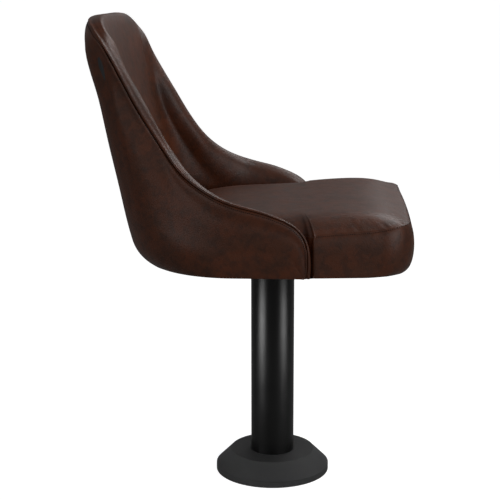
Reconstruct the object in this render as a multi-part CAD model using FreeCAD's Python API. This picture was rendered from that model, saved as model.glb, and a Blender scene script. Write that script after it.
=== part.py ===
import FreeCAD, Part
import os
from math import asin, cos, pi, sin, sqrt

V = FreeCAD.Vector

# Driving dimensions in millimetres. The origin is on the floor, on the column's axis.
# The chair faces -Y, and +Z is up.

# Pedestal
column_dia = 76.2
column_wall = 3.2
floor_plate_dia = 180.0
floor_plate_thick = 9.5
floor_plate_chamfer = 1.5
anchor_count = 4
anchor_hole_dia = 11.0
anchor_circle_dia = 134.0
foot_weld_leg = 6.0

# Base cover, a loose spun shell that slides up the column
cover_dia = 201.8
cover_top_dia = 149.0
cover_height = 37.0
cover_rim_height = 10.8
cover_wall = 1.6
cover_running_clearance = 0.4

# Swivel bearing in the top of the column
spindle_dia = 25.4
spindle_chamfer = 1.5
spindle_running_clearance = 0.05
thrust_play = 0.1
bush_wall = 3.2
bush_length = 26.0
bush_flange_dia = 46.0
bush_flange_thick = 2.5
thrust_washer_thick = 2.0
housing_flange_thick = 5.0
housing_length = 100.0
housing_land = 18.0
housing_waist_dia = 46.0
housing_fit_clearance = 0.05
collar_dia = 52.0
collar_thick = 5.0
collar_weld_leg = 3.0
ring_groove_depth = 1.2
ring_thick = 1.6
ring_width = 3.4
ring_opening_angle = 24.0
ring_side_clearance = 0.05
keeper_washer_dia = 40.0
keeper_washer_thick = 2.0
spindle_tail = 6.0

# Seat plate and its bolts
seat_plate_side = 190.0
seat_plate_thick = 6.4
seat_plate_corner = 14.0
plate_bolt_spacing = 152.4
plate_bolt_dia = 8.0
plate_hole_clearance = 0.5
hex_sides = 6
bolt_head_across_flats = 13.0
bolt_head_thick = 5.3
bolt_washer_dia = 17.0
bolt_washer_thick = 1.6
bolt_top_recess = 1.0
insert_dia = 12.0
insert_length = 13.0
thread_clearance = 0.05

# Seat board, its screws and the dust cover below it
seat_underside = 408.5
dust_cover_thick = 1.0
dust_cover_inset = 7.0
board_thick = 15.0
board_edge_clearance = 0.5
board_front_inset = 20.0
shell_screw_dia = 4.0
shell_screw_head_dia = 8.0
shell_screw_head_thick = 2.6
shell_screw_length = 38.0
side_screw_first = -25.0
side_screw_pitch = 70.0
side_screw_count = 2
back_screw_spacing = 90.0

# Bucket shell, measured to its leather faces
shell_half_width = 255.0
shell_back_reach = 310.0
shell_height = 810.5
arm_front_reach = 63.0
arm_end_round = 10.0
foot_side_inset = 4.0
foot_back_reach = 203.0
foot_corner_radius = 142.0
hip_side_inset = 1.0
hip_back_reach = 236.5
hip_corner_radius = 146.0
hip_height = 40.0
back_crown_radius = 1000.0
cover_pad_thick = 6.0
frame_thick = 9.0
layer_clearance = 0.3
arm_wall_thick = 29.0
back_wall_thick = 42.0
arm_roll_out = 3.0
back_roll_out = 19.0
arm_seam_drop = 11.0
back_seam_drop = 31.0
seam_drop_power = 6
arm_roll_drop = 13.0
back_roll_drop = 20.0

# Seat cushion, a T shape that fills the bucket and stands in front of the arms
cushion_front_reach = 239.0
cushion_front_bow = 6.0
cushion_side_inset = 10.0
cushion_front_taper = 10.0
cushion_corner_radius = 52.0
cushion_seam_rise = 68.0
cushion_seam_slope_share = 0.13
cushion_crown = 26.0
cushion_crown_slope_share = 0.06
cushion_arm_gap = 4.0
cushion_shell_clearance = 0.5
blocker_reach = 90.0

# The ridge of the rim from the arm's front end to the middle of the back. Each row gives
# how far round the hip outline its rib starts, then the ridge point, as shares of the
# half outline, the half width, the back's reach and its height above the underside.
ridge_shares = (
    (0.000, 0.969, -0.171, 0.172),
    (0.064, 0.969, -0.074, 0.239),
    (0.127, 0.969, 0.023, 0.266),
    (0.190, 0.965, 0.119, 0.286),
    (0.250, 0.945, 0.213, 0.309),
    (0.303, 0.886, 0.316, 0.348),
    (0.350, 0.816, 0.419, 0.413),
    (0.390, 0.765, 0.487, 0.480),
    (0.428, 0.737, 0.550, 0.557),
    (0.466, 0.722, 0.609, 0.638),
    (0.504, 0.710, 0.678, 0.730),
    (0.544, 0.706, 0.745, 0.824),
    (0.582, 0.694, 0.800, 0.898),
    (0.618, 0.659, 0.867, 0.936),
    (0.668, 0.569, 0.901, 0.966),
    (0.738, 0.431, 0.920, 0.986),
    (0.850, 0.235, 0.935, 0.998),
    (1.000, 0.000, 0.943, 1.000),
)

# The cushion's levels from the underside to the crown: shares of the seam's height and
# of the crown above it, then insets as shares of the corner radius, front and side.
cushion_level_shares = (
    (0.00, 0.00, 0.34, 0.05),
    (0.08, 0.00, 0.17, 0.04),
    (0.22, 0.00, 0.06, 0.00),
    (0.50, 0.00, 0.00, 0.00),
    (0.82, 0.00, 0.02, 0.03),
    (1.00, 0.00, 0.16, 0.10),
    (1.00, 0.42, 0.50, 0.26),
    (1.00, 0.78, 1.10, 0.80),
    (1.00, 1.00, 2.30, 1.90),
)
heel_out_share = 0.60
heel_up_share = 0.36
# The arm's rounded front end: how far forward each section stands and its size.
arm_end_shares = ((0.0, 1.0), (0.45, 0.965), (0.8, 0.9), (1.0, 0.78))

# Heights of the swivel stack, from the seat down to the column
foot_z = seat_underside + dust_cover_thick
hip_z = foot_z + hip_height
board_top = foot_z + board_thick
plate_z = seat_underside - seat_plate_thick
collar_z = plate_z - collar_thick
washer_z = collar_z - thrust_play - thrust_washer_thick
bush_top_z = washer_z - bush_flange_thick
column_top = bush_top_z - housing_flange_thick
housing_z = column_top + housing_flange_thick - housing_length
keeper_z = housing_z - bush_flange_thick - thrust_play - keeper_washer_thick
ring_z = keeper_z - ring_thick
spindle_end_z = ring_z - spindle_tail

column_inner = column_dia / 2 - column_wall
bush_inner = spindle_dia / 2 + spindle_running_clearance
bush_outer = bush_inner + bush_wall
frame_inner_depth = cover_pad_thick + layer_clearance + frame_thick
pad_outer_depth = frame_inner_depth + layer_clearance
board_inset = pad_outer_depth + board_edge_clearance
foot_half_width = shell_half_width - foot_side_inset
hip_half_width = shell_half_width - hip_side_inset
cushion_half_width = shell_half_width - cushion_side_inset
cushion_front_half_width = cushion_half_width - cushion_front_taper
overrun = shell_height
full_turn = 360
# The sine of half a right angle
half_right = sqrt(2) / 2


def lerp(a, b, share):
    return a + (b - a) * share


def arc(a, b, c):
    return Part.Arc(a, b, c).toShape()


def line(a, b):
    return Part.LineSegment(a, b).toShape()


def ring(outer, inner, z, height):
    """A plain washer shape standing on z."""
    disc = Part.makeCylinder(outer, height, V(0, 0, z))
    return disc.cut(Part.makeCylinder(inner, height, V(0, 0, z)))


def revolved(points, turn=full_turn):
    """A profile of (radius, height) points turned about the column's axis."""
    wire = Part.makePolygon([V(r, 0, z) for r, z in points + points[:1]])
    return Part.Face(wire).revolve(V(0, 0, 0), V(0, 0, 1), turn)


def at_corners(shape, spacing):
    """Four copies of a shape at the corners of a square."""
    copies = []
    for x in (-1, 1):
        for y in (-1, 1):
            copy = shape.copy()
            copy.translate(V(x * spacing / 2, y * spacing / 2, 0))
            copies.append(copy)
    return Part.makeCompound(copies)


# Pedestal

def make_floor_plate():
    radius = floor_plate_dia / 2
    plate = Part.makeCylinder(radius, floor_plate_thick)
    top_edge = [e for e in plate.Edges if e.BoundBox.ZMin > floor_plate_thick / 2]
    plate = plate.makeChamfer(floor_plate_chamfer, top_edge)
    for i in range(anchor_count):
        angle = pi * (2 * i + 1) / anchor_count
        centre = V(anchor_circle_dia / 2 * cos(angle), anchor_circle_dia / 2 * sin(angle), 0)
        plate = plate.cut(Part.makeCylinder(anchor_hole_dia / 2, floor_plate_thick, centre))
    return plate


def make_column_tube():
    """The tube with the weld bead round its foot."""
    outer = column_dia / 2
    return revolved([
        (column_inner, floor_plate_thick),
        (outer + foot_weld_leg, floor_plate_thick),
        (outer, floor_plate_thick + foot_weld_leg),
        (outer, column_top),
        (column_inner, column_top),
    ])


def make_base_cover():
    bore = column_dia / 2 + cover_running_clearance
    outer = cover_dia / 2
    top = cover_top_dia / 2
    cone_run = outer - top
    cone_rise = cover_height - cover_rim_height
    slant = sqrt(cone_run ** 2 + cone_rise ** 2)
    out_share = cone_run / slant
    up_share = cone_rise / slant
    rim_inset = cover_wall * (1 - out_share) / up_share
    top_inset = cover_wall * (1 - up_share) / out_share
    return revolved([
        (outer, 0),
        (outer, cover_rim_height),
        (top, cover_height),
        (bore, cover_height),
        (bore, cover_height - cover_wall),
        (top - cover_wall + top_inset, cover_height - cover_wall),
        (outer - cover_wall, cover_rim_height - rim_inset),
        (outer - cover_wall, 0),
    ])


def make_swivel_housing():
    land = column_inner - housing_fit_clearance
    waist = housing_waist_dia / 2
    flange_z = column_top + housing_flange_thick
    return revolved([
        (bush_outer, housing_z),
        (land, housing_z),
        (land, housing_z + housing_land),
        (waist, housing_z + housing_land),
        (waist, column_top - housing_land),
        (land, column_top - housing_land),
        (land, column_top),
        (column_dia / 2, column_top),
        (column_dia / 2, flange_z),
        (bush_outer, flange_z),
    ])


def make_upper_bush():
    sleeve = ring(bush_outer, bush_inner, bush_top_z - bush_length, bush_length)
    flange = ring(bush_flange_dia / 2, bush_inner, bush_top_z, bush_flange_thick)
    return sleeve.fuse(flange).removeSplitter()


def make_lower_bush():
    sleeve = ring(bush_outer, bush_inner, housing_z, bush_length)
    flange = ring(bush_flange_dia / 2, bush_inner, housing_z - bush_flange_thick, bush_flange_thick)
    return sleeve.fuse(flange).removeSplitter()


def make_thrust_washer():
    return ring(bush_flange_dia / 2, bush_inner, washer_z, thrust_washer_thick)


# Swivelling seat: spindle, plate and fasteners

def make_spindle():
    """The turned spindle with its collar and the weld bead that holds it in the seat plate."""
    radius = spindle_dia / 2
    groove = radius - ring_groove_depth
    collar = collar_dia / 2
    return revolved([
        (0, spindle_end_z),
        (radius - spindle_chamfer, spindle_end_z),
        (radius, spindle_end_z + spindle_chamfer),
        (radius, ring_z - ring_side_clearance),
        (groove, ring_z - ring_side_clearance),
        (groove, ring_z + ring_thick),
        (radius, ring_z + ring_thick),
        (radius, collar_z),
        (collar, collar_z),
        (collar, plate_z - collar_weld_leg),
        (collar + collar_weld_leg, plate_z),
        (radius, plate_z),
        (radius, seat_underside),
        (0, seat_underside),
    ])


def make_keeper_washer():
    return ring(keeper_washer_dia / 2, bush_inner, keeper_z, keeper_washer_thick)


def make_retaining_ring():
    inner = spindle_dia / 2 - ring_groove_depth
    outer = inner + ring_width
    top = ring_z + ring_thick
    points = [(inner, ring_z), (outer, ring_z), (outer, top), (inner, top)]
    clip = revolved(points, full_turn - ring_opening_angle)
    clip.rotate(V(0, 0, 0), V(0, 0, 1), ring_opening_angle / 2)
    return clip


def make_seat_plate():
    corner = V(-seat_plate_side / 2, -seat_plate_side / 2, plate_z)
    plate = Part.makeBox(seat_plate_side, seat_plate_side, seat_plate_thick, corner)
    upright = [e for e in plate.Edges if e.BoundBox.ZLength > seat_plate_thick / 2]
    plate = plate.makeFillet(seat_plate_corner, upright)
    at = V(0, 0, plate_z)
    centre_hole = Part.makeCylinder(spindle_dia / 2 + thread_clearance, seat_plate_thick, at)
    hole = Part.makeCylinder(plate_bolt_dia / 2 + plate_hole_clearance, seat_plate_thick, at)
    return plate.cut([centre_hole, at_corners(hole, plate_bolt_spacing)])


def make_plate_bolts():
    head_z = plate_z - bolt_washer_thick - bolt_head_thick
    corner_radius = bolt_head_across_flats / 2 / cos(pi / hex_sides)
    points = []
    for i in range(hex_sides + 1):
        angle = 2 * pi * i / hex_sides
        points.append(V(corner_radius * cos(angle), corner_radius * sin(angle), head_z))
    head = Part.Face(Part.makePolygon(points)).extrude(V(0, 0, bolt_head_thick))
    shank_z = head_z + bolt_head_thick
    shank_length = board_top - bolt_top_recess - shank_z
    shank = Part.makeCylinder(plate_bolt_dia / 2, shank_length, V(0, 0, shank_z))
    return at_corners(head.fuse(shank), plate_bolt_spacing)


def make_plate_washers():
    inner = plate_bolt_dia / 2 + thread_clearance
    washer = ring(bolt_washer_dia / 2, inner, plate_z - bolt_washer_thick, bolt_washer_thick)
    return at_corners(washer, plate_bolt_spacing)


def make_threaded_inserts():
    """Plain sleeves in the board that the plate's bolts screw into."""
    inner = plate_bolt_dia / 2 + thread_clearance
    insert = ring(insert_dia / 2, inner, board_top - insert_length, insert_length)
    return at_corners(insert, plate_bolt_spacing)


# Plan outlines of the bucket

def outline_at(z):
    """Half width, back reach and corner radius of the shell's plan outline at a height."""
    rise = (z - foot_z) / hip_height
    return (lerp(foot_half_width, hip_half_width, rise),
            lerp(foot_back_reach, hip_back_reach, rise),
            lerp(foot_corner_radius, hip_corner_radius, rise))


def outline_parts(z):
    half_width, back_reach, corner_radius = outline_at(z)
    corner_x = half_width - corner_radius
    crown_y = back_reach - back_crown_radius
    corner_y = crown_y + sqrt((back_crown_radius - corner_radius) ** 2 - corner_x ** 2)
    tangent_turn = asin(corner_x / (back_crown_radius - corner_radius))
    return half_width, corner_radius, corner_x, corner_y, crown_y, tangent_turn


def plan_point(share, z, inset):
    """A point of the plan outline, a share of the way from the arm's end to the back's middle."""
    half_width, corner_radius, corner_x, corner_y, crown_y, tangent_turn = outline_parts(z)
    arm_y = arm_end_round - arm_front_reach
    side = corner_y - arm_y
    corner = corner_radius * (pi / 2 - tangent_turn)
    crown = back_crown_radius * tangent_turn
    along = share * (side + corner + crown)
    if along < side:
        return V(half_width - inset, arm_y + along, z)
    if along < side + corner:
        angle = pi / 2 - (along - side) / corner_radius
        radius = corner_radius - inset
        return V(corner_x + radius * sin(angle), corner_y + radius * cos(angle), z)
    angle = (side + corner + crown - along) / back_crown_radius
    radius = back_crown_radius - inset
    return V(radius * sin(angle), crown_y + radius * cos(angle), z)


def mirrored(point):
    return V(-point.x, point.y, point.z)


def footprint(z, inset, front_inset):
    """The seat's closed plan outline: the bucket's back and the cushion's front."""
    half_width, corner_radius, corner_x, corner_y, crown_y, tangent_turn = outline_parts(z)
    radius = corner_radius - inset
    side_end = V(half_width - inset, corner_y, z)
    side_start = V(half_width - inset, -arm_front_reach, z)
    middle_turn = (pi / 2 + tangent_turn) / 2
    corner_mid = V(corner_x + radius * sin(middle_turn), corner_y + radius * cos(middle_turn), z)
    crown_start = V(corner_x + radius * sin(tangent_turn), corner_y + radius * cos(tangent_turn), z)
    crown_mid = V(0, crown_y + back_crown_radius - inset, z)
    front_y = front_inset - cushion_front_reach
    front_radius = cushion_corner_radius - front_inset / 2
    front_x = cushion_front_half_width - front_inset
    front_side = V(front_x, front_y + front_radius, z)
    bend = front_radius * (1 - half_right)
    front_mid = V(front_x - bend, front_y + bend, z)
    front_end = V(front_x - front_radius, front_y, z)
    edges = [
        line(mirrored(front_end), front_end),
        arc(front_end, front_mid, front_side),
        line(front_side, side_start),
        line(side_start, side_end),
        arc(side_end, corner_mid, crown_start),
        arc(crown_start, crown_mid, mirrored(crown_start)),
        arc(mirrored(crown_start), mirrored(corner_mid), mirrored(side_end)),
        line(mirrored(side_end), mirrored(side_start)),
        line(mirrored(side_start), mirrored(front_side)),
        arc(mirrored(front_side), mirrored(front_mid), mirrored(front_end)),
    ]
    return Part.Wire(edges)


def board_solid(clearance):
    """The seat board, whose edge is bevelled to the shell, grown by a clearance."""
    inset = board_inset - clearance
    front_inset = board_front_inset - clearance
    levels = (foot_z, board_top + clearance)
    wires = [footprint(z, inset, front_inset) for z in levels]
    return Part.makeLoft(wires, True, True)


def shell_screw(at, towards, open_length):
    """A flat-headed screw sunk in the frame, its head's hole open outwards by a length."""
    head_length = shell_screw_head_thick + open_length
    head = Part.makeCylinder(shell_screw_head_dia / 2, head_length, at - towards * open_length, towards)
    shank = Part.makeCylinder(shell_screw_dia / 2, shell_screw_length, at, towards)
    return head.fuse(shank)


def shell_screws(open_length=0):
    z = foot_z + board_thick / 2
    depth = cover_pad_thick + layer_clearance
    head_levels = [outline_parts(z + side * shell_screw_head_dia / 2) for side in (-1, 1)]
    half_width = min(level[0] for level in head_levels)
    crown_y = min(level[4] for level in head_levels)
    x = back_screw_spacing / 2
    y = crown_y + sqrt((back_crown_radius - depth) ** 2 - x ** 2)
    right = [shell_screw(V(x, y, z), V(0, -1, 0), open_length)]
    for i in range(side_screw_count):
        at = V(half_width - depth, side_screw_first + i * side_screw_pitch, z)
        right.append(shell_screw(at, V(-1, 0, 0), open_length))
    left = [screw.mirror(V(0, 0, 0), V(1, 0, 0)) for screw in right]
    return Part.makeCompound(right + left)


# Bucket shell

def ridge_point(row):
    return V(row[1] * shell_half_width,
             row[2] * shell_back_reach,
             lerp(seat_underside, shell_height, row[3]))


class Rib:
    """A rib of the shell wall: its foot, its hip and the roll over its rim."""

    def __init__(self, row, before, after):
        self.share = row[0]
        self.ridge = ridge_point(row)
        along = ridge_point(after) - ridge_point(before)
        if self.share == 0:
            along = V(0, 1, 0)
            self.ridge.y = self.hip(0).y
        along.normalize()
        rise = self.ridge - self.hip(0)
        self.edge = rise - along * rise.dot(along)
        self.edge.normalize()
        self.out = along.cross(self.edge)
        height_share = (self.ridge.z - seat_underside) / (shell_height - seat_underside)
        self.wall = lerp(arm_wall_thick, back_wall_thick, height_share)
        self.roll_out = lerp(arm_roll_out, back_roll_out, height_share)
        self.seam_drop = lerp(arm_seam_drop, back_seam_drop, height_share ** seam_drop_power)
        self.roll_drop = lerp(arm_roll_drop, back_roll_drop, height_share)

    def foot(self, inset):
        return plan_point(self.share, foot_z, inset)

    def heel(self):
        point = self.foot(0) * (1 - heel_out_share) + self.hip(0) * heel_out_share
        point.z = lerp(foot_z, hip_z, heel_up_share)
        return point

    def hip(self, inset):
        return plan_point(self.share, hip_z, inset)

    def seam(self, inset):
        return self.ridge + self.out * (self.roll_out - inset) - self.edge * self.seam_drop

    def inner_edge(self, growth=0):
        depth = self.wall + growth - self.roll_out
        return self.ridge - self.out * depth - self.edge * self.roll_drop

    def roll_mid(self, out, drop):
        """The middle of a quarter turn from the ridge down to a point beside it."""
        return self.ridge + self.out * (out * half_right) - self.edge * (drop * (1 - half_right))


def make_ribs():
    last = ridge_shares[-2]
    past_middle = (last[0], -last[1], last[2], last[3])
    rows = ridge_shares[:1] + ridge_shares + (past_middle,)
    return [Rib(rows[i], rows[i - 1], rows[i + 1]) for i in range(1, len(rows) - 1)]


ribs = make_ribs()


def loft_round(profile, use=ribs):
    """A solid through one profile on each rib, from the right arm round to the left one."""
    right = [Part.Wire(profile(rib)) for rib in use]
    left = [wire.mirror(V(0, 0, 0), V(1, 0, 0)) for wire in reversed(right[:-1])]
    return Part.makeLoft(right + left, True, True)


def layer_profile(rib, outer, inner):
    return [
        line(rib.foot(outer), rib.hip(outer)),
        line(rib.hip(outer), rib.seam(outer)),
        line(rib.seam(outer), rib.seam(inner)),
        line(rib.seam(inner), rib.hip(inner)),
        line(rib.hip(inner), rib.foot(inner)),
        line(rib.foot(inner), rib.foot(outer)),
    ]


def outer_cover_profile(rib):
    edges = layer_profile(rib, 0, cover_pad_thick)
    return [arc(rib.foot(0), rib.heel(), rib.hip(0))] + edges[1:]


def frame_profile(rib):
    return layer_profile(rib, cover_pad_thick + layer_clearance, frame_inner_depth)


def roll_edges(rib, start):
    """The leather roll from the seam over the ridge to the inner face."""
    inward = rib.roll_out - rib.wall
    return [
        arc(start, rib.roll_mid(rib.roll_out, rib.seam_drop), rib.ridge),
        arc(rib.ridge, rib.roll_mid(inward, rib.roll_drop), rib.inner_edge()),
    ]


def pad_profile(rib):
    lift = rib.edge * layer_clearance
    over_frame = rib.seam(pad_outer_depth) + lift
    over_cover = rib.seam(0) + lift
    return [
        line(rib.foot(pad_outer_depth), rib.hip(pad_outer_depth)),
        line(rib.hip(pad_outer_depth), over_frame),
        line(over_frame, over_cover),
        *roll_edges(rib, over_cover),
        line(rib.inner_edge(), rib.hip(rib.wall)),
        line(rib.hip(rib.wall), rib.foot(rib.wall)),
        line(rib.foot(rib.wall), rib.foot(pad_outer_depth)),
    ]


def arm_end_profile(rib):
    over_cover = rib.seam(0) + rib.edge * layer_clearance
    return [
        line(rib.foot(0), rib.hip(0)),
        line(rib.hip(0), over_cover),
        *roll_edges(rib, over_cover),
        line(rib.inner_edge(), rib.hip(rib.wall)),
        line(rib.hip(rib.wall), rib.foot(rib.wall)),
        line(rib.foot(rib.wall), rib.foot(0)),
    ]


def make_arm_end():
    """The rounded front end of the right arm."""
    rib = ribs[0]
    base = Part.Wire(arm_end_profile(rib))
    centre = (rib.foot(0) + rib.foot(rib.wall)) / 2
    sections = []
    for forward, size in arm_end_shares:
        section = base.copy()
        section.scale(size, centre)
        section.translate(V(0, -forward * arm_end_round, 0))
        sections.append(section)
    return Part.makeLoft(sections, True, True)


def make_inner_pad():
    below = Part.makeBox(overrun, overrun, board_top + layer_clearance,
                         V(-overrun / 2, -overrun / 2, 0))
    pad = loft_round(pad_profile).cut(below)
    end = make_arm_end()
    ends = [end, end.mirror(V(0, 0, 0), V(1, 0, 0))]
    ends = [piece.cut(board_solid(layer_clearance)) for piece in ends]
    return pad.fuse(ends).removeSplitter()


def make_outer_cover():
    return loft_round(outer_cover_profile)


def make_shell_frame():
    return loft_round(frame_profile).cut(shell_screws(shell_screw_head_dia))


def make_seat_board():
    radius = insert_dia / 2 + thread_clearance
    hole = Part.makeCylinder(radius, board_thick, V(0, 0, foot_z))
    board = board_solid(0).cut(at_corners(hole, plate_bolt_spacing))
    for screw in shell_screws().Solids:
        board = board.cut(screw)
    return board


def make_dust_cover():
    front_inset = dust_cover_inset + board_front_inset
    sheet = Part.Face(footprint(seat_underside, dust_cover_inset, front_inset))
    radius = plate_bolt_dia / 2 + plate_hole_clearance
    hole = Part.makeCylinder(radius, dust_cover_thick, V(0, 0, seat_underside))
    return sheet.extrude(V(0, 0, dust_cover_thick)).cut(at_corners(hole, plate_bolt_spacing))


# Seat cushion

def cushion_section(level):
    """One closed outline of the cushion, tilted more the higher it lies."""
    seam_share, crown_share, front_share, side_share = level
    front_inset = front_share * cushion_corner_radius
    side_inset = side_share * cushion_corner_radius
    base = lerp(foot_z, foot_z + cushion_seam_rise, seam_share) + crown_share * cushion_crown
    slope = lerp(cushion_seam_slope_share, cushion_crown_slope_share, crown_share) * seam_share

    def point(x, y):
        return V(x, y, base - slope * (y + cushion_front_reach / 2))

    corner = cushion_corner_radius
    front_y = front_inset - cushion_front_reach
    front_x = cushion_front_half_width - side_inset
    side_x = cushion_half_width - side_inset
    back_y = hip_back_reach
    front_end = point(front_x - corner, front_y + cushion_front_bow)
    bend = corner * (1 - half_right)
    corner_mid = point(front_x - bend, front_y + bend + cushion_front_bow)
    front_side = point(front_x, front_y + corner + cushion_front_bow)
    arm_side = point(side_x, -arm_front_reach)
    back_side = point(side_x, back_y)

    def left(p):
        return V(-p.x, p.y, p.z)

    return Part.Wire([
        arc(left(front_end), point(0, front_y), front_end),
        arc(front_end, corner_mid, front_side),
        line(front_side, arm_side),
        line(arm_side, back_side),
        line(back_side, left(back_side)),
        line(left(back_side), left(arm_side)),
        line(left(arm_side), left(front_side)),
        arc(left(front_side), left(corner_mid), left(front_end)),
    ])


def blocker_profile(rib):
    """The room that the shell takes from the cushion."""
    depth = rib.wall + cushion_shell_clearance
    return [
        line(rib.foot(depth), rib.hip(depth)),
        line(rib.hip(depth), rib.inner_edge(cushion_shell_clearance)),
        line(rib.inner_edge(cushion_shell_clearance), rib.seam(-blocker_reach)),
        line(rib.seam(-blocker_reach), rib.foot(-blocker_reach)),
        line(rib.foot(-blocker_reach), rib.foot(depth)),
    ]


def make_seat_cushion():
    body = Part.makeLoft([cushion_section(level) for level in cushion_level_shares], True, True)
    arm_depth = ribs[0].wall + cushion_shell_clearance
    notch_x = foot_half_width - arm_depth
    notch = Part.makeBox(arm_depth + back_wall_thick, arm_front_reach + cushion_arm_gap, shell_height,
                         V(notch_x, -arm_front_reach - cushion_arm_gap, 0))
    notches = [notch, notch.mirror(V(0, 0, 0), V(1, 0, 0))]
    return body.cut([loft_round(blocker_profile), board_solid(layer_clearance)] + notches)


nodes = {
    "floor_plate": make_floor_plate,
    "column_tube": make_column_tube,
    "base_cover": make_base_cover,
    "swivel_housing": make_swivel_housing,
    "upper_bush": make_upper_bush,
    "lower_bush": make_lower_bush,
    "thrust_washer": make_thrust_washer,
    "spindle": make_spindle,
    "keeper_washer": make_keeper_washer,
    "retaining_ring": make_retaining_ring,
    "seat_plate": make_seat_plate,
    "plate_bolts": make_plate_bolts,
    "plate_washers": make_plate_washers,
    "threaded_inserts": make_threaded_inserts,
    "seat_board": make_seat_board,
    "dust_cover": make_dust_cover,
    "shell_frame": make_shell_frame,
    "shell_screws": shell_screws,
    "outer_cover": make_outer_cover,
    "inner_pad": make_inner_pad,
    "seat_cushion": make_seat_cushion,
}

os.makedirs("parts", exist_ok=True)
for name, make in nodes.items():
    shape = make()
    shape.exportStep("parts/" + name + ".step")
    print(name, "valid" if shape.isValid() else "NOT VALID", len(shape.Solids), round(shape.Volume))
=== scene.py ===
import math

import bmesh
import bpy
import numpy as np
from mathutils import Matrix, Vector, kdtree, noise


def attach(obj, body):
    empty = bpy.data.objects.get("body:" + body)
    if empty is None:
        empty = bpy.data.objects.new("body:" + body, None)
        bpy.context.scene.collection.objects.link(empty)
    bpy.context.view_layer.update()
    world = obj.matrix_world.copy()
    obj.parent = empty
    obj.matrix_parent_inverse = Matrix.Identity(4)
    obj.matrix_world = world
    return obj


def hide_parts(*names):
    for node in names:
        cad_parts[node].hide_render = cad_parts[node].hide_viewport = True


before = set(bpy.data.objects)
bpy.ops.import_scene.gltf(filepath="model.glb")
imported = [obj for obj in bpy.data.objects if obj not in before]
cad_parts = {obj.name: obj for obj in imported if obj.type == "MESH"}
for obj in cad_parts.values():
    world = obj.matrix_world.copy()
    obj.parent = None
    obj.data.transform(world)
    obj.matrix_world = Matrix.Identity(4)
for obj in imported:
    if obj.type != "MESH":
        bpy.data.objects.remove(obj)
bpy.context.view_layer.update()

MM = 0.001
HALF_TURN = math.pi
QUARTER_TURN = math.pi / 2

# The shell's driving heights in millimetres, in the frame of the model
FOOT_Z = 409.5
HIP_Z = 449.5
LEATHER_Z = 408.7
BOARD_TOP = 424.8
RIM_LOW_Z = 408.5
RIM_HIGH_Z = 810.5

# The plan outline at the foot and at the hip: half width, reach to the rear and corner radius
FOOT_OUTLINE = (251.0, 203.0, 142.0)
HIP_OUTLINE = (254.0, 236.5, 146.0)
CROWN_RADIUS = 1000.0
ARM_START = -53.0

# The rim from the arm's foot round to the middle of the back: the ridge's x, y and z, the
# seam's x, y and z below it, how far round the foot its rib starts, and the rib's aim.
RIM_ROWS = (
    (246.0, -68.5, 409.6, 251.3, -59.6, 410.0, -0.0140, 251.0, -15.0, 409.0),
    (246.0, -69.7, 425.0, 251.8, -60.3, 425.0, 0.0010, 252.0, -15.0, 425.0),
    (246.0, -69.0, 441.0, 252.2, -60.5, 440.0, 0.0120, 253.0, -12.0, 437.0),
    (245.5, -65.8, 460.0, 252.4, -59.8, 456.0, 0.0250, 254.0, -8.0, 443.0),
    (244.8, -60.5, 474.0, 252.6, -56.8, 468.5, 0.0400, 254.0, -4.0, 447.0),
    (244.0, -52.5, 484.5, 252.8, -50.8, 478.5, 0.0570, 254.0, 0.0, 449.0),
    (244.0, -42.5, 493.0, 253.0, -42.5, 486.8, 0.0760, 254.0, 4.0, 449.5),
    (244.7, -29.0, 500.9, 253.4, -29.8, 494.6, 0.1010, 254.0, 8.0, 449.5),
    (246.0, -12.0, 508.3, 254.0, -12.5, 501.8, 0.1290, 254.0, 13.0, 449.5),
    (247.0, 8.0, 515.6, 254.8, 8.8, 508.8, 0.1540, 254.0, 22.0, 449.5),
    (246.1, 36.9, 523.5, 254.2, 38.6, 516.0, 0.1980, 254.0, 42.0, 449.5),
    (241.0, 66.0, 532.7, 250.0, 69.2, 525.2, 0.2520, 254.0, 68.0, 449.5),
    (225.9, 98.0, 548.4, 236.8, 103.5, 541.0, 0.3030, 252.0, 95.0, 449.5),
    (208.1, 129.9, 574.5, 219.6, 138.0, 564.8, 0.3500, 244.0, 122.0, 449.5),
    (195.1, 151.0, 601.5, 206.8, 161.8, 592.5, 0.3900, 231.0, 145.0, 449.5),
    (187.9, 170.5, 632.4, 200.6, 183.3, 624.0, 0.4280, 215.0, 166.0, 449.5),
    (184.1, 188.8, 665.0, 198.0, 204.0, 656.8, 0.4660, 196.0, 185.0, 449.5),
    (181.1, 210.2, 702.0, 196.3, 224.9, 694.2, 0.5040, 178.0, 200.0, 449.5),
    (180.0, 230.9, 739.7, 195.4, 244.0, 732.2, 0.5440, 160.0, 211.0, 449.5),
    (176.5, 246.5, 769.8, 191.6, 259.8, 762.7, 0.5820, 142.0, 219.0, 449.5),
    (167.5, 259.5, 789.5, 180.5, 271.4, 781.0, 0.6180, 126.0, 224.0, 449.5),
    (145.5, 269.0, 802.5, 160.0, 283.2, 794.0, 0.6680, 110.0, 228.0, 449.5),
    (109.9, 275.5, 808.2, 122.0, 292.3, 799.8, 0.7380, 88.0, 231.0, 449.5),
    (59.9, 280.5, 809.9, 66.0, 297.3, 801.4, 0.8500, 50.0, 235.0, 449.5),
    (0.0, 282.5, 809.6, 0.0, 299.3, 801.8, 1.0000, 0.0, 236.5, 449.5),
)


def lerp(a, b, t):
    return a + (b - a) * t


def smooth(t):
    t = np.clip(t, 0.0, 1.0)
    return t * t * (3.0 - 2.0 * t)


def rising(value, start, length):
    """None up to a start, all from a length past it, with a smooth step between."""
    return smooth((value - start) / length)


def hump(value, size, middle, width):
    return size * np.exp(-((value - middle) / width) ** 2)


def unit(v):
    return v / np.linalg.norm(v, axis=-1, keepdims=True)


def dot(a, b):
    return np.sum(a * b, axis=-1, keepdims=True)


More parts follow.
